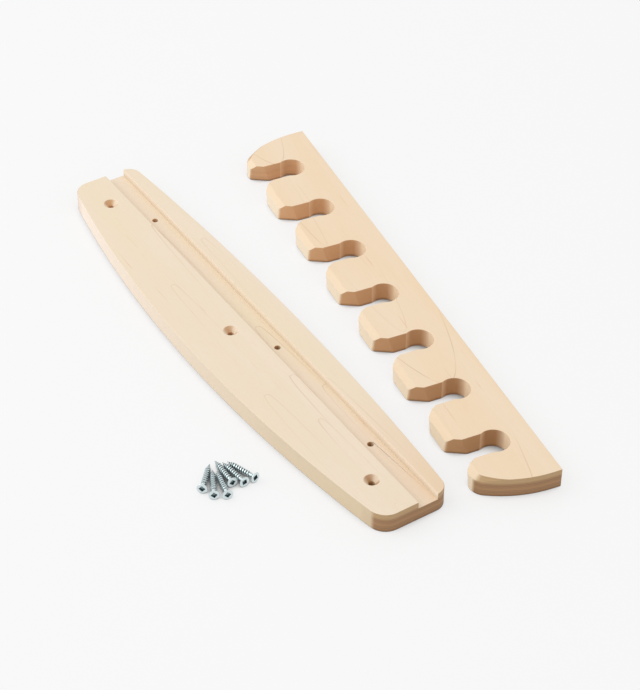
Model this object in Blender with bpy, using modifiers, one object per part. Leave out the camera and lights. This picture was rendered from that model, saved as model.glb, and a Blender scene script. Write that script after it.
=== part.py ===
"""Chisel rack kit: a bowed back board, a slotted rail and the screws that join them, laid out flat."""
from math import atan, atan2, asin, cos, pi, radians, sin, sqrt, tan

import bmesh
import bpy
from mathutils import Matrix, Vector

# Back board, in metres
BOARD_LENGTH = 0.381
BOARD_WIDTH = 0.073
BOARD_THICKNESS = 0.0135
UPPER_BOW = 0.018
LOWER_BOW = 0.0084
UPPER_CORNER = 0.012
LOWER_CORNER = 0.009
GROOVE_LINE = 0.01335
GROOVE_DEPTH = 0.0048
GROOVE_CLEARANCE = 0.0002
HANGING_SPACING = 0.160
HANGING_LINE = -0.0057

# Slotted rail
RAIL_LENGTH = 0.381
RAIL_DEPTH = 0.0503
RAIL_THICKNESS = 0.0135
SLOT_COUNT = 7
END_MARGIN = 0.0381
SLOT_HOLE = 0.0191
SLOT_INSET = 0.02515
THROAT_WIDTH = 0.0168
MOUTH_ANGLE = radians(30)
MOUTH_DEPTH_ABOVE = 0.0078
MOUTH_DEPTH_BELOW = 0.0121
TOOTH_RADIUS = 0.003
END_STRAIGHT = 0.0048
END_CORNER = 0.010
END_FLAT = 0.001
FRONT_CHAMFER = 0.0035
CHAMFER_REACH = 0.0228
CHAMFER_FADE = 1.3
PILOT_HOLE = 0.0024
PILOT_MARGIN = 0.0015

# Places of the screws between board and rail, in slots from the middle one
RAIL_SCREW_STEPS = (-2.61, 0.5, 2.57)

# Flat-head wood screw with a square recess
SCREW_LENGTH = 0.0236
SCREW_HEAD = 0.0066
SCREW_RIM = 0.0003
SCREW_SHANK = 0.0035
SCREW_POINT = 0.0055
SCREW_FLAT = 0.0006
HEAD_ANGLE = radians(82)
RECESS_WIDTH = 0.003
RECESS_FLOOR = 0.0023
RECESS_DEPTH = 0.0017
HOLE_CLEARANCE = 0.0004
SINK_MARGIN = 0.0031

# Lay-out on the table
RAIL_GAP = 0.0359
RAIL_SHIFT = 0.0175
RAIL_TURN = radians(-8.8)
FAN_SHIFT = 0.0887
FAN_GAP = 0.0316

# Each screw's tip, in steps of head plus shank from the fan's middle, its heading and its roll
FAN = (
    (-0.22, -0.41, radians(138.8), radians(0)),
    (0.30, -0.53, radians(152.3), radians(5)),
    (0.51, -0.35, radians(165.6), radians(0)),
    (-0.29, -0.02, radians(176.2), radians(5)),
    (0.07, 0.28, radians(183.7), radians(50)),
    (0.165, 0.56, radians(194.9), radians(57)),
)

# Sizes that follow from the driving ones
SLOT_PITCH = (RAIL_LENGTH - 2 * END_MARGIN) / (SLOT_COUNT - 1)
RAIL_SCREWS = [step * SLOT_PITCH for step in RAIL_SCREW_STEPS]
FIRST_SLOT = END_MARGIN - RAIL_LENGTH / 2
TOOTH_ROUND = TOOTH_RADIUS * tan(pi / 4 - MOUTH_ANGLE / 2)
WIDEST_MOUTH = THROAT_WIDTH / 2 + max(MOUTH_DEPTH_ABOVE, MOUTH_DEPTH_BELOW) * tan(MOUTH_ANGLE)
END_SETBACK = END_MARGIN - WIDEST_MOUTH - TOOTH_ROUND - END_FLAT
END_DROP = RAIL_DEPTH - END_STRAIGHT - END_CORNER
END_RADIUS = (END_SETBACK**2 + END_DROP**2 - END_CORNER**2) / (2 * (END_SETBACK - END_CORNER))
HOLE = SCREW_SHANK + HOLE_CLEARANCE
SINK = SCREW_HEAD + SINK_MARGIN
HEAD_SINK = SINK_MARGIN / 2 / tan(HEAD_ANGLE / 2)
GROOVE_WIDTH = RAIL_THICKNESS + GROOVE_CLEARANCE
GROOVE_FLOOR = BOARD_THICKNESS - GROOVE_DEPTH
PILOT_DEPTH = SCREW_LENGTH + HEAD_SINK - GROOVE_FLOOR + PILOT_MARGIN
NECK = (SCREW_HEAD - SCREW_SHANK) / 2 / tan(HEAD_ANGLE / 2)

# Facets and the overlap of a cutter past the face it cuts
BOW_STEPS = 40
CORNER_STEPS = 8
TOOTH_STEPS = 5
SLOT_STEPS = 24
ROUND_STEPS = 24
OVERCUT = 0.001
WELD = 0.000002


def new_collection(name):
    made = bpy.data.collections.new(name)
    bpy.context.scene.collection.children.link(made)
    return made


def new_material(name, colour, roughness, metallic):
    made = bpy.data.materials.new(name)
    made.use_nodes = True
    shader = made.node_tree.nodes["Principled BSDF"]
    shader.inputs["Base Color"].default_value = (*colour, 1)
    shader.inputs["Roughness"].default_value = roughness
    shader.inputs["Metallic"].default_value = metallic
    return made


def new_object(name, mesh, collection, material=None):
    made = bpy.data.objects.new(name, mesh)
    collection.objects.link(made)
    if material:
        mesh.materials.append(material)
    else:
        made.hide_render = True
        made.display_type = "WIRE"
    return made


def arc(centre, radius, start, end, steps):
    turns = [start + (end - start) * step / steps for step in range(steps + 1)]
    return [(centre[0] + radius * cos(turn), centre[1] + radius * sin(turn)) for turn in turns]


def mirrored(points):
    return [(-x, y) for x, y in reversed(points)]


def extruded(name, outline, thickness, collection, material):
    """A flat outline as a filled curve, made a closed mesh that stands on z = 0."""
    curve = bpy.data.curves.new(name, "CURVE")
    curve.dimensions = "2D"
    curve.fill_mode = "BOTH"
    curve.extrude = thickness / 2
    spline = curve.splines.new("POLY")
    spline.points.add(len(outline) - 1)
    for point, (x, y) in zip(spline.points, outline):
        point.co = (x, y, 0, 1)
    spline.use_cyclic_u = True
    drawn = bpy.data.objects.new(name + " outline", curve)
    drawn.location.z = thickness / 2
    collection.objects.link(drawn)
    graph = bpy.context.evaluated_depsgraph_get()
    mesh = bpy.data.meshes.new_from_object(drawn.evaluated_get(graph))
    shape = bmesh.new()
    shape.from_mesh(mesh)
    bmesh.ops.remove_doubles(shape, verts=shape.verts, dist=WELD)
    shape.to_mesh(mesh)
    shape.free()
    made = new_object(name, mesh, collection, material)
    made.matrix_world = drawn.matrix_world
    bpy.data.objects.remove(drawn)
    return made


def lofted(name, sections, collection, material=None):
    """A closed body through a row of sections with the same number of corners."""
    shape = bmesh.new()
    rings = [[shape.verts.new(point) for point in section] for section in sections]
    for low, high in zip(rings, rings[1:]):
        for index in range(len(low)):
            after = (index + 1) % len(low)
            shape.faces.new((low[index], low[after], high[after], high[index]))
    shape.faces.new(rings[0][::-1])
    shape.faces.new(rings[-1])
    bmesh.ops.recalc_face_normals(shape, faces=shape.faces)
    mesh = bpy.data.meshes.new(name)
    shape.to_mesh(mesh)
    shape.free()
    return new_object(name, mesh, collection, material)


def turned(name, profile, collection, material=None):
    """A profile of (radius, height) points from top to bottom, spun round Z."""
    mesh = bpy.data.meshes.new(name)
    edges = [(index, index + 1) for index in range(len(profile) - 1)]
    mesh.from_pydata([(radius, 0, height) for radius, height in profile], edges, [])
    made = new_object(name, mesh, collection, material)
    spin = made.modifiers.new("Spin", "SCREW")
    spin.steps = ROUND_STEPS
    spin.render_steps = ROUND_STEPS
    spin.use_merge_vertices = True
    spin.merge_threshold = WELD
    return made


def cut(target, cutter):
    boolean = target.modifiers.new(cutter.name, "BOOLEAN")
    boolean.operation = "DIFFERENCE"
    boolean.solver = "EXACT"
    boolean.object = cutter


def screw_hole(name, x, y, face, through, side):
    """A countersunk hole from height face; side is +1 for a sink above the board and -1 below it."""
    slope = tan(HEAD_ANGLE / 2)
    sink = (SINK - HOLE) / 2 / slope
    profile = [
        (0, OVERCUT),
        (SINK / 2 + OVERCUT * slope, OVERCUT),
        (HOLE / 2, -sink),
        (HOLE / 2, -through - OVERCUT),
        (0, -through - OVERCUT),
    ]
    cutter = turned(name, profile, cutters)
    cutter.location = (x, y, face)
    cutter.rotation_euler.x = 0 if side > 0 else pi
    return cutter


def bowed_edge(bow, corner, side):
    """One long edge of the board with its two round corners; side is -1 above and +1 below."""
    half = BOARD_LENGTH / 2
    radius = (half**2 + bow**2) / (2 * bow)
    crown = BOARD_WIDTH / 2 - radius
    rise = sqrt((radius - corner) ** 2 - (half - corner) ** 2)
    lean = atan2(rise, half - corner)
    middle = (half - corner, crown + rise)
    near = arc(middle, corner, 0, lean, CORNER_STEPS)
    bend = arc((0, crown), radius, lean, pi - lean, BOW_STEPS)
    edge = near + bend[1:-1] + mirrored(near)
    if side < 0:
        edge = [(-x, -y) for x, y in edge]
    return edge


def back_board():
    outline = bowed_edge(LOWER_BOW, LOWER_CORNER, 1) + bowed_edge(UPPER_BOW, UPPER_CORNER, -1)
    board = extruded("back_board", outline, BOARD_THICKNESS, rack, maple)

    bpy.ops.mesh.primitive_cube_add(size=1)
    groove = bpy.context.object
    groove.name = "groove"
    groove.scale = (BOARD_LENGTH + 2 * OVERCUT, GROOVE_WIDTH, 2 * GROOVE_DEPTH)
    groove.location = (0, GROOVE_LINE, BOARD_THICKNESS)
    groove.hide_render = True
    groove.display_type = "WIRE"
    bpy.context.collection.objects.unlink(groove)
    cutters.objects.link(groove)
    cut(board, groove)

    for step in (-1, 0, 1):
        x = step * HANGING_SPACING
        hole = screw_hole("hanging hole", x, HANGING_LINE, BOARD_THICKNESS, BOARD_THICKNESS, 1)
        cut(board, hole)
    for x in RAIL_SCREWS:
        cut(board, screw_hole("rail screw hole", x, GROOVE_LINE, 0, BOARD_THICKNESS, -1))


def end_arcs():
    """The left end's long arc and front corner, each as centre, radius, start and end angle."""
    end = -RAIL_LENGTH / 2
    corner = (end + END_SETBACK, END_CORNER)
    centre = (end + END_RADIUS, END_CORNER + END_DROP)
    meet = pi + atan2(END_DROP, END_RADIUS - END_SETBACK)
    return (centre, END_RADIUS, pi, meet), (corner, END_CORNER, meet, 1.5 * pi)


def tooth_side(x, mouth_depth):
    """The round of a tooth's front where it turns into the flank of the slot at x."""
    mouth = THROAT_WIDTH / 2 + mouth_depth * tan(MOUTH_ANGLE)
    middle = (x - mouth - TOOTH_ROUND, TOOTH_RADIUS)
    return arc(middle, TOOTH_RADIUS, -pi / 2, -MOUTH_ANGLE, TOOTH_STEPS)


def slot_outline(x, mouth_depth):
    """One keyhole slot from flank to flank: throat, hole and throat."""
    half = THROAT_WIDTH / 2
    lap = asin(sqrt((SLOT_HOLE / 2) ** 2 - half**2) / (SLOT_HOLE / 2))
    hole = arc((x, SLOT_INSET), SLOT_HOLE / 2, pi + lap, -lap, SLOT_STEPS)
    return [(x - half, mouth_depth)] + hole + [(x + half, mouth_depth)]


def rail_outline(mouth_depth, height):
    """The rail's plan at one height, with its front edge on the X axis."""
    long_arc, corner = end_arcs()
    left = [(-RAIL_LENGTH / 2, RAIL_DEPTH)] + arc(*long_arc, CORNER_STEPS)
    left += arc(*corner, CORNER_STEPS)[1:] + tooth_side(FIRST_SLOT, mouth_depth)
    plan = list(left)
    for number in range(SLOT_COUNT):
        x = FIRST_SLOT + number * SLOT_PITCH
        if number > 0:
            plan += mirrored(tooth_side(SLOT_PITCH - x, mouth_depth)) + tooth_side(x, mouth_depth)
        plan += slot_outline(x, mouth_depth)
    plan += mirrored(left)
    return [(x, y, height) for x, y in plan]


def front_chamfer():
    """A three-cornered cutter along the front's top arris that fades out round both ends."""
    long_arc, corner = end_arcs()
    centre, radius, _, meet = long_arc
    start = pi + asin((centre[1] - CHAMFER_REACH) / radius)
    path = []
    for middle, size, first, last in ((centre, radius, start, meet), corner):
        edge = arc(middle, size, first, last, CORNER_STEPS)
        outward = arc((0, 0), 1, first, last, CORNER_STEPS)
        path += [point + normal for point, normal in zip(edge, outward)]
    path.pop(CORNER_STEPS)
    path += [(-x, y, -across, along) for x, y, across, along in reversed(path)]

    sections = []
    for x, y, across, along in path:
        share = max(0, 1 - y / CHAMFER_REACH)
        size = (FRONT_CHAMFER + OVERCUT / 2) * share**CHAMFER_FADE - OVERCUT / 2
        inner = size + OVERCUT
        top = RAIL_THICKNESS + OVERCUT
        sections.append([
            (x - across * inner, y - along * inner, top),
            (x + across * OVERCUT, y + along * OVERCUT, RAIL_THICKNESS - inner),
            (x + across * OVERCUT, y + along * OVERCUT, top),
        ])
    return lofted("front chamfer", sections, cutters)


def chisel_rail():
    below = rail_outline(MOUTH_DEPTH_BELOW, 0)
    above = rail_outline(MOUTH_DEPTH_ABOVE, RAIL_THICKNESS)
    rail = lofted("chisel_rail", [below, above], rack, maple)
    chamfer = front_chamfer()
    chamfer.parent = rail
    cut(rail, chamfer)
    for x in RAIL_SCREWS:
        profile = [
            (0, OVERCUT),
            (PILOT_HOLE / 2, OVERCUT),
            (PILOT_HOLE / 2, PILOT_HOLE / 2 - PILOT_DEPTH),
            (0, -PILOT_DEPTH),
        ]
        pilot = turned("pilot hole", profile, cutters)
        pilot.location = (x, RAIL_DEPTH, RAIL_THICKNESS / 2)
        pilot.rotation_euler.x = -pi / 2
        pilot.parent = rail
        cut(rail, pilot)
    rail.location = (RAIL_SHIFT, BOARD_WIDTH / 2 + RAIL_GAP, 0)
    rail.rotation_euler.z = RAIL_TURN


def wood_screw(name, place):
    """A screw lying on its head's rim and the end of its full shank."""
    across, along, heading, roll = place
    profile = [
        (0, 0),
        (SCREW_HEAD / 2, 0),
        (SCREW_HEAD / 2, -SCREW_RIM),
        (SCREW_SHANK / 2, -SCREW_RIM - NECK),
        (SCREW_SHANK / 2, SCREW_POINT - SCREW_LENGTH),
        (SCREW_FLAT / 2, -SCREW_LENGTH),
        (0, -SCREW_LENGTH),
    ]
    screw = turned(name, profile, rack, zinc)
    above = 2 * RECESS_WIDTH - RECESS_FLOOR
    shape = bmesh.new()
    bmesh.ops.create_cone(
        shape,
        segments=4,
        cap_ends=True,
        radius1=RECESS_FLOOR / sqrt(2),
        radius2=above / sqrt(2),
        depth=2 * RECESS_DEPTH,
    )
    mesh = bpy.data.meshes.new(name + " recess")
    shape.to_mesh(mesh)
    shape.free()
    recess = new_object(name + " recess", mesh, cutters)
    recess.parent = screw
    cut(screw, recess)

    tilt = atan((SCREW_HEAD - SCREW_SHANK) / 2 / (SCREW_LENGTH - SCREW_POINT - SCREW_RIM))
    rise = SCREW_HEAD / 2 * cos(tilt) + SCREW_RIM * sin(tilt)
    step = SCREW_HEAD + SCREW_SHANK
    reach = SCREW_LENGTH * cos(tilt)
    middle = Vector((FAN_SHIFT, -BOARD_WIDTH / 2 - FAN_GAP, rise))
    screw.location = middle + Vector((
        across * step - reach * cos(heading),
        along * step - reach * sin(heading),
        0,
    ))
    lie = Matrix.Rotation(heading + pi, 3, "Z") @ Matrix.Rotation(pi / 2 - tilt, 3, "Y")
    screw.rotation_euler = (lie @ Matrix.Rotation(roll, 3, "Z")).to_euler()


for item in list(bpy.data.objects):
    bpy.data.objects.remove(item, do_unlink=True)

rack = new_collection("chisel rack")
cutters = new_collection("cutters")
maple = new_material("maple", (0.80, 0.64, 0.44), 0.55, 0)
zinc = new_material("zinc plate", (0.70, 0.72, 0.72), 0.3, 1)

back_board()
chisel_rail()
for number, place in enumerate(FAN, start=1):
    wood_screw(f"screw_{number}", place)
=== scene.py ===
"""Chisel rack kit on a white table: maple back board and slotted rail, zinc-plated wood screws."""
from math import atan, cos, pi, radians, sin

import bmesh
import bpy
from mathutils import Matrix, Vector


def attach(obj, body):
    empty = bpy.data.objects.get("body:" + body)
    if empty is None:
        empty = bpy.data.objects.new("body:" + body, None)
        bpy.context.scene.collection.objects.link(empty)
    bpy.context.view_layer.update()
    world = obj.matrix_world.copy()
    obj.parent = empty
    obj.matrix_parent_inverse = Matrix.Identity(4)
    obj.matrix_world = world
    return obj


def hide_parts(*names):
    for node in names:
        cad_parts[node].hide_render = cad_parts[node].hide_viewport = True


# Image size and focal length in pixels, sensor in millimetres, and the camera's place and aim in
# metres
IMAGE_WIDTH = 640
IMAGE_HEIGHT = 690
FOCAL_PIXELS = 1978.9
SENSOR = 36.0
CAMERA_PLACE = Vector((0.83538, -0.47611, 0.82177))
CAMERA_AIM = Vector((0.02938, 0.04264, 0.0))

# Table, the shade at the foot of what lies on it, and light: lengths in metres, power in watts
FLOOR_SIZE = 8.0
FLOOR_DROP = 0.00002
BACKDROP = "F8F8F8"
PAPER = "F0F0F0"
PAPER_GLOW = 0.72
PAPER_NEAR = 0.35
PAPER_FAR = 1.2
SHADE_REACH = 0.014
SHADE_DEEP = 0.30
SHADE_CLEAR = 0.66
SHADE_FALL = 1.5
SHADE_SAMPLES = 16
SKY = "FFFFFF"
SKY_STRENGTH = 0.79
KEY_POWER = 23.0
KEY_SIZE = 2.4
KEY_PLACE = Vector((-0.9, -1.4, 1.7))

# Rail's turn and place on the table, in metres
RAIL_TURN = radians(-8.8)
RAIL_PLACE = Vector((0.0175, 0.0724, 0.0))

# Eased arrises, and the merging and smoothing of facets: lengths in metres
ARRIS = 0.0004
ARRIS_STEPS = 3
ARRIS_ANGLE = radians(35)
WELD = 0.000002
FLAT_ANGLE = radians(0.4)
SMOOTH_ANGLE = radians(20)

# Millimetres in a metre
MILLIMETRES = 1000

# Grain of the maple: each mark's length and width in millimetres, and the detail of its noise. Fibres
# and pores are drawn several times as wide as real ones, which are too fine to show
GRAIN = {
    "sway": (160.0, 40.0, 1.0),
    "ripple": (45.0, 9.0, 2.0),
    "fade": (70.0, 10.0, 1.0),
    "fibre": (9.0, 0.5, 2.0),
    "pore": (3.2, 0.45, 1.0),
    "cloud": (170.0, 26.0, 2.0),
    "streak": (34.0, 0.9, 0.0),
}

# Steps through the noise from plank to plank and from mark to mark
SEED_STEP = (7.3, 3.1, 1.7)
MARK_STEP = (11.0, -11.0, 22.0)

# How a mark shows: the noise where it starts and where it is full, and its share at both
SHOWN = {
    "cloud": (0.38, 0.62, 0.0, 1.0),
    "fade": (0.35, 0.6, 0.25, 1.0),
    "fibre": (0.5, 0.8, 0.0, 0.10),
    "pore": (0.72, 0.80, 0.0, 0.16),
    "streak": (0.80, 0.87, 0.0, 0.35),
}

# Relief of the fibres and the pores, and the roughness over the fibres
FIBRE_RELIEF = 0.6
PORE_RELIEF = -2.5
MAPLE_ROUGH = (0.3, 0.7, 0.52, 0.62)

# Growth lines: how far they waver, their half width and how far from its tip each fades, in millimetres
SWAY = 5.0
RIPPLE = 0.8
LINE_HALF = 0.5
LINE_REACH = 95.0

# Layers of the end grain: their thickness and wave in millimetres, the part of a layer that darkens and
# how much, and the least strength of a layer
LAYER = 1.3
LAYER_WAVE = 1.5
LAYER_DARK = (0.45, 0.95, 0.42, 0.76)
LAYER_LEAST = 0.5

# Spans along, across and up a plank in which its tone and its painted shade change, in millimetres,
# and the shares of its paler upper band and of the painted shade along its foot
FALLOFF_ALONG = (-170.0, 170.0)
SAWN_ALONG = (155.0, 175.0)
HEART_ALONG = (90.0, 190.0)
HEART_ACROSS = (4.0, 24.0)
CUTS_ACROSS = (10.0, 15.0)
CUTS_UP = (9.0, 12.5)
PALE_TOP_UP = (9.0, 10.5)
PALE_TOP_SHARE = 0.3
FOOT_SHADE_UP = (0.3, 2.2)
FOOT_SHADE_SHARE = 0.7

# Facing, from 0 to 1, at which edge grain and end grain start and are full, and end grain at sawn ends
EDGE_FACING = (0.6, 1.0)
END_FACING = (0.3, 0.82)
SAWN_FACING = (0.15, 0.4)

# Tints that both planks share, among them painted shade and a painted highlight
TINTS = {
    "heart": "E6C399",
    "line": "B98C62",
    "fibre": "D3B08C",
    "pore": "B58E68",
    "streak": "DD9C78",
    # Painted shade: end grain darkens from the far end to the near end, where the light falls off
    "far end": "E2B285",
    "near end shade": "BD9166",
    "layer": "7A604C",
    "pale_top": "EAD09E",
    # Painted shade along the foot of the end grain
    "foot": "7A5638",
    # Painted shade inside the bores
    "painted_bore_shade": "7E5230",
    # Painted highlight on the corner where each throat runs into its bore
    "painted_kink_light": "F3CFA8",
}

# Arched growth lines: each one's tip along and across the plank in millimetres, how wide it opens, and
# its strength
BOARD_ARCHES = (
    (-124.0, 6.5, 8.0, 0.45),
    (-92.0, 27.5, 3.0, 0.30),
    (-60.0, -14.0, 5.0, 0.28),
    (1.0, 14.0, 8.0, 0.42),
    (57.0, 4.5, 9.0, 0.50),
    (71.0, 19.0, 6.0, 0.45),
    (64.0, -18.0, 7.0, 0.32),
    (100.0, -3.0, 4.0, 0.30),
)
RAIL_ARCHES = (
    (-160.0, 18.0, -7.0, 0.45),
    (-60.0, 10.0, -0.8, 0.50),
    (40.0, 20.0, -2.5, 0.32),
    (95.0, 23.5, -10.0, 0.60),
    (233.0, 10.0, -9.9, 0.80),
)

# Bores along the rail: their pitch and radius, the skin of painted shade inside each and its least
# strength, and the corner with a painted highlight before each bore's middle, lengths in millimetres
BORE_PITCH = 50.8
BORE_RADIUS = 9.55
BORE_SHADE_SKIN = (BORE_RADIUS + 0.1, BORE_RADIUS + 0.5)
BORE_SHADE_LEAST = 0.35
CORNER_START = (-5.2, -4.6)
CORNER_END = (-4.2, -0.6)
CORNER_REACH = (11.0, 12.0)

# Each plank's tints, its place in metres, its figure, how far across it the groove or the row of bores
# lies in millimetres, and how much its heart, its painted bore shade and its painted corner highlight
# show
BOARD_WOOD = {
    "tints": {
        "pale": "F0DEC8",
        "warm": "EEDDC1",
        "cuts": "F8E8D5",
        # Painted shade at the foot of the groove's walls
        "corners": "E1D3BC",
        # Painted light towards the far end of the sides, painted shade towards their near end
        "far side light": "F8E9DA",
        "near side shade": "DCC8A8",
    },
    "place": Vector((0.0, 0.0, 0.0)),
    "turn": 0.0,
    "seed": 1.0,
    "arches": BOARD_ARCHES,
    "blunt": 4.0,
    "line": 13.35,
    "heart": 0.55,
    "painted_bore_shade": 0.0,
    "painted_kink_light": 0.0,
}
RAIL_WOOD = {
    "tints": {
        "pale": "F2DCC0",
        "warm": "F1D8B8",
        "cuts": "F8E2C2",
        "corners": "F8E2C2",
        # Painted light towards the far end of the sides, painted shade towards their near end
        "far side light": "F4E3CA",
        "near side shade": "F1DFC4",
    },
    "place": RAIL_PLACE,
    "turn": RAIL_TURN,
    "seed": 2.0,
    "arches": RAIL_ARCHES,
    "blunt": 2.0,
    "line": 25.15,
    "heart": 0.0,
    "painted_bore_shade": 0.26,
    "painted_kink_light": 0.6,
}

# Zinc plate: its tints, the size of its mottle in metres, and its roughness over the mottle
ZINC_PALE = "E6F0F1"
ZINC_DULL = "CBDADD"
ZINC_DARK = "3C5054"
ZINC_MOTTLE = 0.0006
ZINC_ROUGH = (0.3, 0.7, 0.20, 0.34)

# Wood screw, and the middle and step of the fan of six, in metres
SCREW_LENGTH = 0.0236
SCREW_HEAD = 0.0066
SCREW_RIM = 0.0003
SCREW_SHANK = 0.0035
SCREW_CORE = 0.0023
SCREW_NECK = 0.0026
SCREW_POINT = 0.0055
SCREW_TIP = 0.0003
THREAD_PITCH = 0.0018
HEAD_ANGLE = radians(82)
RECESS_WIDTH = 0.003
RECESS_FLOOR = 0.0023
RECESS_DEPTH = 0.0017
FAN_MIDDLE = Vector((0.0887, -0.0681, 0.0))
FAN_STEP = SCREW_HEAD + SCREW_SHANK

# A screw's soft rim and pit as shares of its rim and of its recess floor's half width, how long its
# thread takes to start and to end in pitches, the crest's half width at its top and its foot in turns,
# and the shades of its roots and its recess
RIM_SOFT = 0.4
PIT_DEEP = 0.35
THREAD_START = 0.3
THREAD_END = 2.0
CREST = (1 / 6, 1 / 3)
ROOT_SHADE = 0.95
RECESS_SHADES = (0.45, 0.7, 0.8)

# Facets of a screw, and the row of its head after which they turn square
COLUMNS = 32
THREAD_ROWS = 6
THREAD_TURNS = 14
SQUARE_FROM = 3.5

# Each screw's tip, in steps from the fan's middle, its heading and its roll
FAN = (
    (-0.22, -0.41, radians(138.8), radians(0)),
    (0.30, -0.53, radians(152.3), radians(5)),
    (0.51, -0.35, radians(165.6), radians(0)),
    (-0.29, -0.02, radians(176.2), radians(5)),
    (0.07, 0.28, radians(183.7), radians(50)),
    (0.165, 0.56, radians(194.9), radians(57)),
)

# Kinds of node
MATH = "ShaderNodeMath"
MIX = "ShaderNodeMix"
RANGE = "ShaderNodeMapRange"
NOISE = "ShaderNodeTexNoise"
MAPPING = "ShaderNodeMapping"

# A Mix node's sockets for colours
SHARE = 0
FIRST = 6
SECOND = 7

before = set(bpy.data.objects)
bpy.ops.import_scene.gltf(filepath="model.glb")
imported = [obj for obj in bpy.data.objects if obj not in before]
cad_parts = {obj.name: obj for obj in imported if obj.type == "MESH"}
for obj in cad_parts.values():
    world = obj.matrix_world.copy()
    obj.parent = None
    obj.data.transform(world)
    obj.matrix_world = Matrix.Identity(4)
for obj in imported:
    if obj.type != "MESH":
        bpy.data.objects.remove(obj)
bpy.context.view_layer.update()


def linear(code):
    """A linear colour from an sRGB hex value."""
    parts = [int(code[at:at + 2], 16) / 255 for at in (0, 2, 4)]
    return tuple(p / 12.92 if p <= 0.04045 else ((p + 0.055) / 1.055) ** 2.4 for p in parts) + (1.0,)


def add(tree, kind, inputs=(), **settings):
    """A node with its settings, and with its inputs set to values or linked to outputs."""
    made = tree.nodes.new(kind)
    for name, value in settings.items():
        setattr(made, name, value)
    pairs = inputs.items() if isinstance(inputs, dict) else enumerate(inputs)
    for place, value in pairs:
        if isinstance(value, bpy.types.Node):
            value = next(socket for socket in value.outputs if socket.enabled)
        if isinstance(value, bpy.types.NodeSocket):
            tree.links.new(value, made.inputs[place])
        else:
            made.inputs[place].default_value = value
    return made


def new_material(name):
    made = bpy.data.materials.new(name)
    made.use_nodes = True
    made.node_tree.nodes.clear()
    return made, made.node_tree


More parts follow.
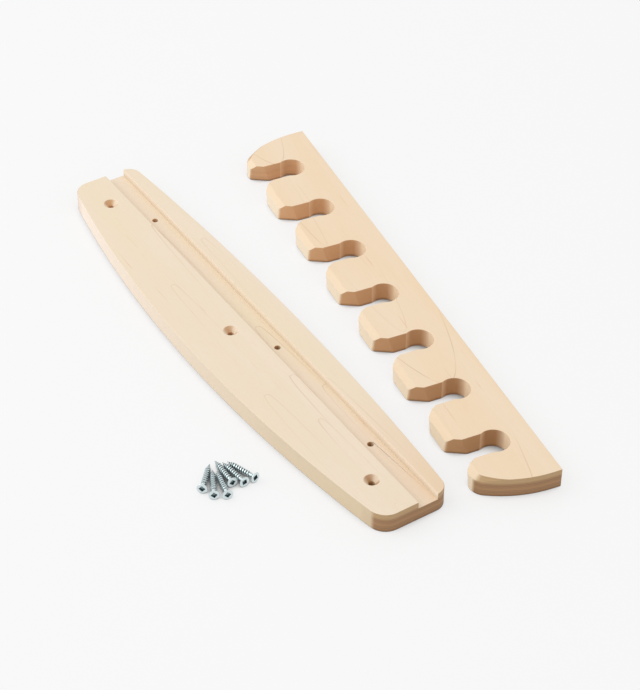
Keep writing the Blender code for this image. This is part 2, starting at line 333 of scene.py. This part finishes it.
def maple(name, wood):
    """Hard maple, planed and sanded: pale cream, even and dull, with thin tan growth lines,
    fine fibres along the length and darker, browner end grain, with painted shade and painted light in
    places."""
    made, tree = new_material(name)
    turn, seed, blunt = wood["turn"], wood["seed"], wood["blunt"]
    tint = {part: linear(code) for part, code in (TINTS | wood["tints"]).items()}

    # The plank's own millimetres, X along its grain
    where = add(tree, "ShaderNodeTexCoord").outputs["Object"]
    back = Matrix.Rotation(-turn, 3, "Z") @ wood["place"]
    plank = add(tree, MAPPING, {
        "Vector": where,
        "Location": tuple(-MILLIMETRES * value for value in back),
        "Rotation": (0, 0, -turn),
        "Scale": (MILLIMETRES, MILLIMETRES, MILLIMETRES),
    })
    axes = add(tree, "ShaderNodeSeparateXYZ", (plank,)).outputs

    # Marks drawn out along the grain
    marks = {}
    for number, (mark, (length, width, detail)) in enumerate(GRAIN.items(), start=1):
        drawn = add(tree, MAPPING, {
            "Vector": plank,
            "Location": tuple(seed * own + number * step for own, step in zip(SEED_STEP, MARK_STEP)),
            "Scale": (1 / length, 1 / width, 1 / width),
        })
        marks[mark] = add(tree, NOISE, {"Vector": drawn, "Scale": 1.0, "Detail": detail})

    # Growth lines that arch along the face, waver, and fade away from their tips
    waver = add(tree, MATH, (marks["sway"], SWAY, axes["Y"]), operation="MULTIPLY_ADD")
    waver = add(tree, MATH, (marks["ripple"], RIPPLE, waver), operation="MULTIPLY_ADD")
    line = 0.0
    for tip, middle, opening, strength in wood["arches"]:
        along = add(tree, MATH, (tip, axes["X"]), operation="SUBTRACT")
        across = add(tree, MATH, (waver, middle + (SWAY + RIPPLE) / 2), operation="SUBTRACT")
        across = add(tree, MATH, (across,), operation="ABSOLUTE")
        bend = add(tree, MATH, (across, blunt), operation="POWER")
        past = add(tree, MATH, (bend, 1 / opening, along), operation="MULTIPLY_ADD")
        lean = add(tree, MATH, (bend, across), operation="DIVIDE")
        lean = add(tree, MATH, (lean, blunt / opening), operation="MULTIPLY")
        steep = add(tree, MATH, (lean, lean, 1.0), operation="MULTIPLY_ADD")
        steep = add(tree, MATH, (steep, 0.5), operation="POWER")
        apart = add(tree, MATH, (past, steep), operation="DIVIDE")
        apart = add(tree, MATH, (apart,), operation="ABSOLUTE")
        reach = add(tree, MATH, (along,), operation="ABSOLUTE")
        left = add(tree, RANGE, (reach, 0.0, LINE_REACH, strength, 0.0))
        arch = add(tree, RANGE, (apart, 0.0, LINE_HALF, left, 0.0))
        line = add(tree, MATH, (line, arch), operation="MAXIMUM")

    # Long grain: slow changes of tone, a warmer heart side, growth lines that come and go, fibres,
    # pores and rare streaks
    shown = {mark: add(tree, RANGE, (marks[mark], *limits)) for mark, limits in SHOWN.items()}
    heart = add(tree, RANGE, (axes["X"], *HEART_ALONG, 0.0, wood["heart"]))
    rising = add(tree, RANGE, (axes["Y"], *HEART_ACROSS, 0.0, 1.0))
    heart = add(tree, MATH, (heart, rising), operation="MULTIPLY")
    line = add(tree, MATH, (line, shown["fade"]), operation="MULTIPLY")
    face = add(tree, MIX, {
        SHARE: shown["cloud"],
        FIRST: tint["pale"],
        SECOND: tint["warm"],
    }, data_type="RGBA")
    over = {"heart": heart, "line": line} | {mark: shown[mark] for mark in ("fibre", "pore", "streak")}
    for part, share in over.items():
        face = add(tree, MIX, {SHARE: share, FIRST: face, SECOND: tint[part]}, data_type="RGBA")

    # End grain: painted shade that deepens towards the near end of the plank, flat dark layers at the
    # sawn ends, a paler band along the upper side and painted shade along the lower arris
    falloff_shade = add(tree, RANGE, (axes["X"], *FALLOFF_ALONG, 0.0, 1.0))
    reach = add(tree, MATH, (axes["X"],), operation="ABSOLUTE")
    sawn = add(tree, RANGE, (reach, *SAWN_ALONG, 0.0, 1.0))
    level = add(tree, MATH, (marks["ripple"], LAYER_WAVE, axes["Z"]), operation="MULTIPLY_ADD")
    level = add(tree, MATH, (level, LAYER), operation="DIVIDE")
    within = add(tree, MATH, (level,), operation="FRACT")
    layer = add(tree, RANGE, (within, *LAYER_DARK))
    number = add(tree, MATH, (level,), operation="FLOOR")
    chance = add(tree, "ShaderNodeTexWhiteNoise", {"W": number}, noise_dimensions="1D").outputs["Value"]
    chance = add(tree, RANGE, (chance, 0.0, 1.0, LAYER_LEAST, 1.0))
    layer = add(tree, MATH, (layer, chance), operation="MULTIPLY")
    layer = add(tree, MATH, (layer, sawn), operation="MULTIPLY")
    # Paler along the upper side
    pale_top = add(tree, RANGE, (axes["Z"], *PALE_TOP_UP, 0.0, PALE_TOP_SHARE))
    pale_top = add(tree, MATH, (pale_top, sawn), operation="MULTIPLY")
    # Painted shade along the foot
    foot = add(tree, RANGE, (axes["Z"], *FOOT_SHADE_UP, FOOT_SHADE_SHARE, 0.0))

    # Bores along the plank, with painted shade inside them and a painted highlight on the corner where
    # each throat runs into its bore
    aside = add(tree, MATH, (axes["X"], BORE_PITCH / 2), operation="PINGPONG")
    beyond = add(tree, MATH, (axes["Y"], wood["line"]), operation="SUBTRACT")
    square = add(tree, MATH, (aside, aside), operation="MULTIPLY")
    square = add(tree, MATH, (beyond, beyond, square), operation="MULTIPLY_ADD")
    radius = add(tree, MATH, (square, 0.5), operation="POWER")
    painted_bore_shade = add(tree, RANGE, (radius, *BORE_SHADE_SKIN, wood["painted_bore_shade"], 0.0))
    strong = add(tree, RANGE, (falloff_shade, 0.0, 1.0, BORE_SHADE_LEAST, 1.0))
    painted_bore_shade = add(tree, MATH, (painted_bore_shade, strong), operation="MULTIPLY")
    # Painted highlight on the corner where the throat meets the bore
    painted_kink_light = add(tree, RANGE, (beyond, *CORNER_START, 0.0, wood["painted_kink_light"]))
    for measure, span in ((beyond, CORNER_END), (radius, CORNER_REACH)):
        left = add(tree, RANGE, (measure, *span, 1.0, 0.0))
        painted_kink_light = add(tree, MATH, (painted_kink_light, left), operation="MULTIPLY")
    cut = add(tree, MIX, {
        SHARE: falloff_shade,
        FIRST: tint["far end"],
        SECOND: tint["near end shade"],
    }, data_type="RGBA")
    over = {"layer": layer, "pale_top": pale_top, "foot": foot, "painted_bore_shade": painted_bore_shade, "painted_kink_light": painted_kink_light}
    for part, share in over.items():
        cut = add(tree, MIX, {SHARE: share, FIRST: cut, SECOND: tint[part]}, data_type="RGBA")

    # Edge grain, with painted light towards the far end and painted shade towards the near end, and
    # painted shade at the foot of the walls of its cuts
    apart = add(tree, MATH, (beyond,), operation="ABSOLUTE")
    outer = add(tree, RANGE, (apart, *CUTS_ACROSS, 0.0, 1.0))
    lift = add(tree, RANGE, (axes["Z"], *CUTS_UP, 0.0, 1.0))
    inner = add(tree, MIX, {SHARE: lift, FIRST: tint["corners"], SECOND: tint["cuts"]}, data_type="RGBA")
    side = add(tree, MIX, {
        SHARE: falloff_shade,
        FIRST: tint["far side light"],
        SECOND: tint["near side shade"],
    }, data_type="RGBA")
    side = add(tree, MIX, {SHARE: outer, FIRST: inner, SECOND: side}, data_type="RGBA")

    # Face grain, edge grain or end grain, by the way the surface faces
    facing = add(tree, "ShaderNodeVectorRotate", {
        "Vector": add(tree, "ShaderNodeNewGeometry").outputs["Normal"],
        "Angle": -turn,
    }, rotation_type="Z_AXIS")
    facing = add(tree, "ShaderNodeVectorMath", (facing,), operation="ABSOLUTE")
    facing = add(tree, "ShaderNodeSeparateXYZ", (facing,)).outputs
    edges = add(tree, RANGE, (facing["Y"], *EDGE_FACING, 0.0, 1.0))
    start, full = (add(tree, RANGE, (sawn, 0.0, 1.0, *turns)) for turns in zip(END_FACING, SAWN_FACING))
    ends = add(tree, RANGE, (facing["X"], start, full, 0.0, 1.0))
    colour = add(tree, MIX, {SHARE: edges, FIRST: face, SECOND: side}, data_type="RGBA")
    colour = add(tree, MIX, {SHARE: ends, FIRST: colour, SECOND: cut}, data_type="RGBA")

    # Raised fibres, open pores and a dull sanded surface
    relief = add(tree, MATH, (marks["fibre"], FIBRE_RELIEF), operation="MULTIPLY")
    relief = add(tree, MATH, (shown["pore"], PORE_RELIEF, relief), operation="MULTIPLY_ADD")
    bump = add(tree, "ShaderNodeBump", {"Height": relief, "Strength": 0.12, "Distance": 0.00005})
    shader = add(tree, "ShaderNodeBsdfPrincipled", {
        "Base Color": colour,
        "Roughness": add(tree, RANGE, (marks["fibre"], *MAPLE_ROUGH)),
        "Normal": bump,
        "IOR": 1.45,
        "Specular IOR Level": 0.3,
    })
    add(tree, "ShaderNodeOutputMaterial", {"Surface": shader})
    return made


def zinc_plate():
    """Steel with bright zinc plating from a barrel: bluish white metal, mottled, and dark where the
    thread's roots and the driver's recess keep the light out. The mottle is drawn coarser than life,
    because the real one is too fine to show."""
    made, tree = new_material("bright zinc plate")
    where = add(tree, "ShaderNodeTexCoord").outputs["Object"]
    mottle = add(tree, NOISE, {"Vector": where, "Scale": 1 / ZINC_MOTTLE, "Detail": 2.0})
    shade = add(tree, "ShaderNodeAttribute", attribute_name="shade").outputs["Fac"]
    pale, dull, dark = linear(ZINC_PALE), linear(ZINC_DULL), linear(ZINC_DARK)
    plate = add(tree, MIX, {SHARE: mottle, FIRST: pale, SECOND: dull}, data_type="RGBA")
    colour = add(tree, MIX, {SHARE: shade, FIRST: plate, SECOND: dark}, data_type="RGBA")
    shader = add(tree, "ShaderNodeBsdfPrincipled", {
        "Base Color": colour,
        "Roughness": add(tree, RANGE, (mottle, *ZINC_ROUGH)),
        "Metallic": 1.0,
    })
    add(tree, "ShaderNodeOutputMaterial", {"Surface": shader})
    return made


def seen_rays(tree):
    """Rays that show what they meet: straight from the camera, by a reflection or through glass."""
    path = add(tree, "ShaderNodeLightPath").outputs
    seen = path["Is Camera Ray"]
    for kind in ("Is Glossy Ray", "Is Transmission Ray"):
        seen = add(tree, MATH, (seen, path[kind]), operation="MAXIMUM")
    return seen


def white_paper():
    """Matt white paper: even and pale, with painted shade only close to what lies on it, and running far
    off into the backdrop."""
    made, tree = new_material("white paper")
    seen = seen_rays(tree)
    # Painted shade: the paper's glow dims close to what lies on it
    near = add(tree, "ShaderNodeAmbientOcclusion", {"Distance": SHADE_REACH}, samples=SHADE_SAMPLES)
    shut = add(tree, RANGE, (near.outputs["AO"], SHADE_DEEP, SHADE_CLEAR, 1.0, 0.0))
    shut = add(tree, MATH, (shut, SHADE_FALL), operation="POWER")
    open_sky = add(tree, MATH, (1.0, shut), operation="SUBTRACT")
    glow = add(tree, "ShaderNodeEmission", {"Color": linear(BACKDROP), "Strength": open_sky})
    white = add(tree, "ShaderNodeBsdfDiffuse", {"Color": linear(BACKDROP)})
    where = add(tree, "ShaderNodeTexCoord").outputs["Object"]
    away = add(tree, "ShaderNodeVectorMath", (where,), operation="LENGTH")
    share = add(tree, RANGE, (away, PAPER_NEAR, PAPER_FAR, PAPER_GLOW, 1.0))
    shown = add(tree, "ShaderNodeMixShader", (share, white, glow))
    paper = add(tree, "ShaderNodeBsdfDiffuse", {"Color": linear(PAPER)})
    shader = add(tree, "ShaderNodeMixShader", (seen, paper, shown))
    add(tree, "ShaderNodeOutputMaterial", {"Surface": shader})
    return made


def new_piece(name, mesh):
    made = bpy.data.objects.new(name, mesh)
    bpy.context.scene.collection.objects.link(made)
    return made


def plain_mesh(made):
    """Turns an object's modifiers into a plain mesh of its own."""
    graph = bpy.context.evaluated_depsgraph_get()
    mesh = bpy.data.meshes.new_from_object(made.evaluated_get(graph))
    made.modifiers.clear()
    made.data = mesh
    return mesh


def eased(name, node, material):
    """A wooden piece with its arrises eased round, over the same solid."""
    shape = bmesh.new()
    shape.from_mesh(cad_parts[node].data)
    bmesh.ops.remove_doubles(shape, verts=shape.verts, dist=WELD)
    bmesh.ops.dissolve_limit(shape, angle_limit=FLAT_ANGLE, verts=shape.verts, edges=shape.edges)
    weight = shape.edges.layers.float.new("bevel_weight_edge")
    for edge in shape.edges:
        if edge.is_manifold and edge.calc_face_angle_signed() > ARRIS_ANGLE:
            edge[weight] = 1
    mesh = bpy.data.meshes.new(name)
    shape.to_mesh(mesh)
    shape.free()
    made = new_piece(name, mesh)
    mesh.materials.clear()
    mesh.materials.append(material)
    bevel = made.modifiers.new("Ease", "BEVEL")
    bevel.width = ARRIS
    bevel.segments = ARRIS_STEPS
    bevel.limit_method = "WEIGHT"
    bevel.use_clamp_overlap = False
    mesh = plain_mesh(made)
    mesh.polygons.foreach_set("use_smooth", [True] * len(mesh.polygons))
    mesh.set_sharp_from_angle(angle=SMOOTH_ANGLE)
    made.modifiers.new("Flat faces", "WEIGHTED_NORMAL").keep_sharp = True
    plain_mesh(made)
    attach(made, "root")
    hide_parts(node)


def flat_sheet(tree, rows):
    """A sheet to be rolled round the screw's axis, with the turn and the row of each of its points."""
    sheet = add(tree, "GeometryNodeMeshGrid", (1.0, 1.0, COLUMNS + 1, rows + 1)).outputs["Mesh"]
    axes = add(tree, "ShaderNodeSeparateXYZ", (add(tree, "GeometryNodeInputPosition"),)).outputs
    turn = add(tree, MATH, (axes["X"], 0.5), operation="ADD")
    row = add(tree, MATH, (axes["Y"], 0.5), operation="ADD")
    row = add(tree, MATH, (row, float(rows)), operation="MULTIPLY")
    row = add(tree, MATH, (row,), operation="ROUND")
    return sheet, turn, row


def rolled(tree, sheet, angle, radius, height, shade):
    """The sheet rolled to this radius and height, keeping its shade."""
    east = add(tree, MATH, (angle,), operation="COSINE")
    north = add(tree, MATH, (angle,), operation="SINE")
    east = add(tree, MATH, (east, radius), operation="MULTIPLY")
    north = add(tree, MATH, (north, radius), operation="MULTIPLY")
    place = add(tree, "ShaderNodeCombineXYZ", (east, north, height))
    shaded = add(tree, "GeometryNodeStoreNamedAttribute", {
        "Geometry": sheet,
        "Name": "shade",
        "Value": shade,
    }, data_type="FLOAT", domain="POINT")
    return add(tree, "GeometryNodeSetPosition", {"Geometry": shaded, "Position": place}).outputs[0]


def head_profile(tree, row, values):
    """A measure that takes these values row by row up and over the head."""
    total = values[0]
    for number, (first, second) in enumerate(zip(values, values[1:])):
        share = add(tree, MATH, (row, float(number)), operation="SUBTRACT", use_clamp=True)
        change = add(tree, MATH, (second, first), operation="SUBTRACT")
        total = add(tree, MATH, (share, change, total), operation="MULTIPLY_ADD")
    return total


def threaded_shank(tree, size, top):
    """Rows climb one pitch in a turn, and the middle ones of each turn stand out as the crest."""
    sheet, turn, row = flat_sheet(tree, THREAD_ROWS * THREAD_TURNS)
    turns = add(tree, MATH, (row, float(THREAD_ROWS)), operation="DIVIDE")
    climb = add(tree, MATH, (turns, turn), operation="ADD")
    climb = add(tree, MATH, (climb, 1.0), operation="SUBTRACT")
    rising = add(tree, MATH, (climb, size["Pitch"]), operation="MULTIPLY")
    height = add(tree, MATH, (rising, 0.0), operation="MAXIMUM")
    height = add(tree, MATH, (height, top), operation="MINIMUM")

    # Crest of the thread, which runs out below the head
    phase = add(tree, MATH, (turns,), operation="FRACT")
    phase = add(tree, MATH, (phase, 0.5), operation="SUBTRACT")
    away = add(tree, MATH, (phase,), operation="ABSOLUTE")
    crest = add(tree, RANGE, (away, *CREST, 1.0, 0.0))
    left = add(tree, MATH, (top, height), operation="SUBTRACT")
    fading = add(tree, MATH, (size["Pitch"], THREAD_END), operation="MULTIPLY")
    full = add(tree, MATH, (left, fading), operation="DIVIDE", use_clamp=True)
    crest = add(tree, MATH, (crest, full), operation="MULTIPLY")

    # Core and crest widths, both drawn in to the point
    point = add(tree, MATH, (height, size["Point"]), operation="DIVIDE", use_clamp=True)
    core = add(tree, RANGE, (full, 0.0, 1.0, size["Neck"], size["Core"]))
    core = add(tree, RANGE, (point, 0.0, 1.0, size["Tip"], core))
    outer = add(tree, RANGE, (point, 0.0, 1.0, size["Tip"], size["Shank"]))
    wide = add(tree, RANGE, (crest, 0.0, 1.0, core, outer))
    start = add(tree, MATH, (size["Pitch"], THREAD_START), operation="MULTIPLY")
    started = add(tree, MATH, (rising, start), operation="DIVIDE", use_clamp=True)
    radius = add(tree, MATH, (wide, 0.5), operation="MULTIPLY")
    radius = add(tree, MATH, (radius, started), operation="MULTIPLY")

    root = add(tree, RANGE, (crest, 0.0, 1.0, ROOT_SHADE, 0.0))
    root = add(tree, MATH, (root, full), operation="MULTIPLY")
    angle = add(tree, MATH, (turn, 2 * pi), operation="MULTIPLY")
    drop = add(tree, MATH, (height, size["Length"]), operation="SUBTRACT")
    return rolled(tree, sheet, angle, radius, drop, root)


def recessed_head(tree, size, cone):
    """Neck, cone, rim and face, then the recess, whose rows are drawn out from round to square."""
    neck, head, mouth, floor = (
        add(tree, MATH, (size[name], 0.5), operation="MULTIPLY")
        for name in ("Neck", "Head", "Recess", "Recess Floor")
    )
    soft = add(tree, MATH, (size["Rim"], -RIM_SOFT), operation="MULTIPLY")
    edge = add(tree, MATH, (head, soft), operation="ADD")
    low = add(tree, MATH, (size["Rim"], -1.0), operation="MULTIPLY")
    foot = add(tree, MATH, (low, cone), operation="SUBTRACT")
    bottom = add(tree, MATH, (size["Recess Depth"], -1.0), operation="MULTIPLY")
    pit = add(tree, MATH, (floor, -PIT_DEEP, bottom), operation="MULTIPLY_ADD")
    widths = (neck, head, head, edge, mouth, mouth, floor, 0.0)
    heights = (foot, low, soft, 0.0, 0.0, soft, bottom, pit)
    shades = (0.0, 0.0, 0.0, 0.0, 0.0, *RECESS_SHADES)

    sheet, turn, row = flat_sheet(tree, len(widths) - 1)
    angle = add(tree, MATH, (turn, 2 * pi), operation="MULTIPLY")
    east = add(tree, MATH, (angle,), operation="COSINE")
    north = add(tree, MATH, (angle,), operation="SINE")
    east = add(tree, MATH, (east,), operation="ABSOLUTE")
    north = add(tree, MATH, (north,), operation="ABSOLUTE")
    straight = add(tree, MATH, (east, north), operation="MAXIMUM")
    corner = add(tree, MATH, (1.0, straight), operation="DIVIDE")
    square = add(tree, MATH, (row, SQUARE_FROM), operation="GREATER_THAN")
    stretch = add(tree, RANGE, (square, 0.0, 1.0, 1.0, corner))
    radius = add(tree, MATH, (head_profile(tree, row, widths), stretch), operation="MULTIPLY")
    height = head_profile(tree, row, heights)
    return rolled(tree, sheet, angle, radius, height, head_profile(tree, row, shades))


def screw_tree(material):
    """Node tree of a flat-head wood screw: threaded shank, head and square recess round one axis."""
    tree = bpy.data.node_groups.new("wood screw", "GeometryNodeTree")
    sizes = {
        "Length": SCREW_LENGTH,
        "Head": SCREW_HEAD,
        "Rim": SCREW_RIM,
        "Shank": SCREW_SHANK,
        "Core": SCREW_CORE,
        "Neck": SCREW_NECK,
        "Point": SCREW_POINT,
        "Tip": SCREW_TIP,
        "Pitch": THREAD_PITCH,
        "Head Angle": HEAD_ANGLE,
        "Recess": RECESS_WIDTH,
        "Recess Floor": RECESS_FLOOR,
        "Recess Depth": RECESS_DEPTH,
    }
    for name, value in sizes.items():
        socket = tree.interface.new_socket(name, in_out="INPUT", socket_type="NodeSocketFloat")
        socket.default_value = value
    tree.interface.new_socket("Geometry", in_out="OUTPUT", socket_type="NodeSocketGeometry")
    size = add(tree, "NodeGroupInput").outputs

    lean = add(tree, MATH, (size["Head Angle"], 0.5), operation="MULTIPLY")
    slope = add(tree, MATH, (lean,), operation="TANGENT")
    widening = add(tree, MATH, (size["Head"], size["Neck"]), operation="SUBTRACT")
    widening = add(tree, MATH, (widening, 0.5), operation="MULTIPLY")
    cone = add(tree, MATH, (widening, slope), operation="DIVIDE")
    top = add(tree, MATH, (size["Length"], size["Rim"]), operation="SUBTRACT")
    top = add(tree, MATH, (top, cone), operation="SUBTRACT")

    both = add(tree, "GeometryNodeJoinGeometry")
    for part in (threaded_shank(tree, size, top), recessed_head(tree, size, cone)):
        tree.links.new(part, both.inputs[0])
    merged = add(tree, "GeometryNodeMergeByDistance", {"Geometry": both, "Distance": WELD})
    smooth = add(tree, "GeometryNodeSetShadeSmooth", {"Geometry": merged, "Shade Smooth": True})
    real = add(tree, "GeometryNodeRealizeInstances", {"Geometry": smooth})
    finished = add(tree, "GeometryNodeSetMaterial", {"Geometry": real, "Material": material})
    add(tree, "NodeGroupOutput", (finished,))
    return tree


def wood_screw(number, tree, place):
    """One screw lying on its head's rim and the end of its full shank."""
    across, along, heading, roll = place
    name = f"wood_screw_{number}"
    made = new_piece(name, bpy.data.meshes.new(name))
    made.modifiers.new("Screw", "NODES").node_group = tree
    mesh = plain_mesh(made)
    shape = bmesh.new()
    shape.from_mesh(mesh)
    bmesh.ops.recalc_face_normals(shape, faces=shape.faces)
    shape.to_mesh(mesh)
    shape.free()
    mesh.set_sharp_from_angle(angle=SMOOTH_ANGLE)
    tilt = atan((SCREW_HEAD - SCREW_SHANK) / 2 / (SCREW_LENGTH - SCREW_POINT - SCREW_RIM))
    rise = SCREW_HEAD / 2 * cos(tilt) + SCREW_RIM * sin(tilt)
    reach = SCREW_LENGTH * cos(tilt)
    head = FAN_MIDDLE + Vector((
        across * FAN_STEP - reach * cos(heading),
        along * FAN_STEP - reach * sin(heading),
        rise,
    ))
    turn = Matrix.Rotation(heading + pi, 4, "Z") @ Matrix.Rotation(pi / 2 - tilt, 4, "Y")
    mesh.transform(Matrix.Translation(head) @ turn @ Matrix.Rotation(roll + pi / 4, 4, "Z"))
    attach(made, "root")
    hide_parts(f"screw_{number}")


def table_and_light():
    half = FLOOR_SIZE / 2
    corners = [(-half, -half), (half, -half), (half, half), (-half, half)]
    mesh = bpy.data.meshes.new("table")
    mesh.from_pydata([(x, y, -FLOOR_DROP) for x, y in corners], [], [(0, 1, 2, 3)])
    mesh.materials.append(white_paper())
    new_piece("table", mesh)

    world = bpy.data.worlds.new("studio")
    world.use_nodes = True
    tree = world.node_tree
    tree.nodes.clear()
    seen = seen_rays(tree)
    sky = add(tree, "ShaderNodeBackground", {"Color": linear(SKY), "Strength": SKY_STRENGTH})
    backdrop = add(tree, "ShaderNodeBackground", {"Color": linear(BACKDROP), "Strength": 1.0})
    both = add(tree, "ShaderNodeMixShader", (seen, sky, backdrop))
    add(tree, "ShaderNodeOutputWorld", {"Surface": both})
    bpy.context.scene.world = world

    lamp = bpy.data.lights.new("soft box", "AREA")
    lamp.shape = "SQUARE"
    lamp.size = KEY_SIZE
    lamp.energy = KEY_POWER
    light = bpy.data.objects.new("soft box", lamp)
    light.location = KEY_PLACE
    light.rotation_euler = (KEY_PLACE - CAMERA_AIM).to_track_quat("Z", "Y").to_euler()
    bpy.context.scene.collection.objects.link(light)


def camera():
    lens = bpy.data.cameras.new("camera")
    lens.sensor_fit = "AUTO"
    lens.sensor_width = SENSOR
    lens.lens = FOCAL_PIXELS / max(IMAGE_WIDTH, IMAGE_HEIGHT) * SENSOR
    eye = bpy.data.objects.new("camera", lens)
    eye.location = CAMERA_PLACE
    eye.rotation_euler = (CAMERA_AIM - CAMERA_PLACE).to_track_quat("-Z", "Y").to_euler()
    bpy.context.scene.collection.objects.link(eye)
    bpy.context.scene.camera = eye


camera()
table_and_light()
bpy.context.scene.view_settings.view_transform = "Standard"

eased("bowed_board", "back_board", maple("maple board", BOARD_WOOD))
eased("slotted_rail", "chisel_rail", maple("maple rail", RAIL_WOOD))
screw = screw_tree(zinc_plate())
for number, place in enumerate(FAN, start=1):
    wood_screw(number, screw, place)
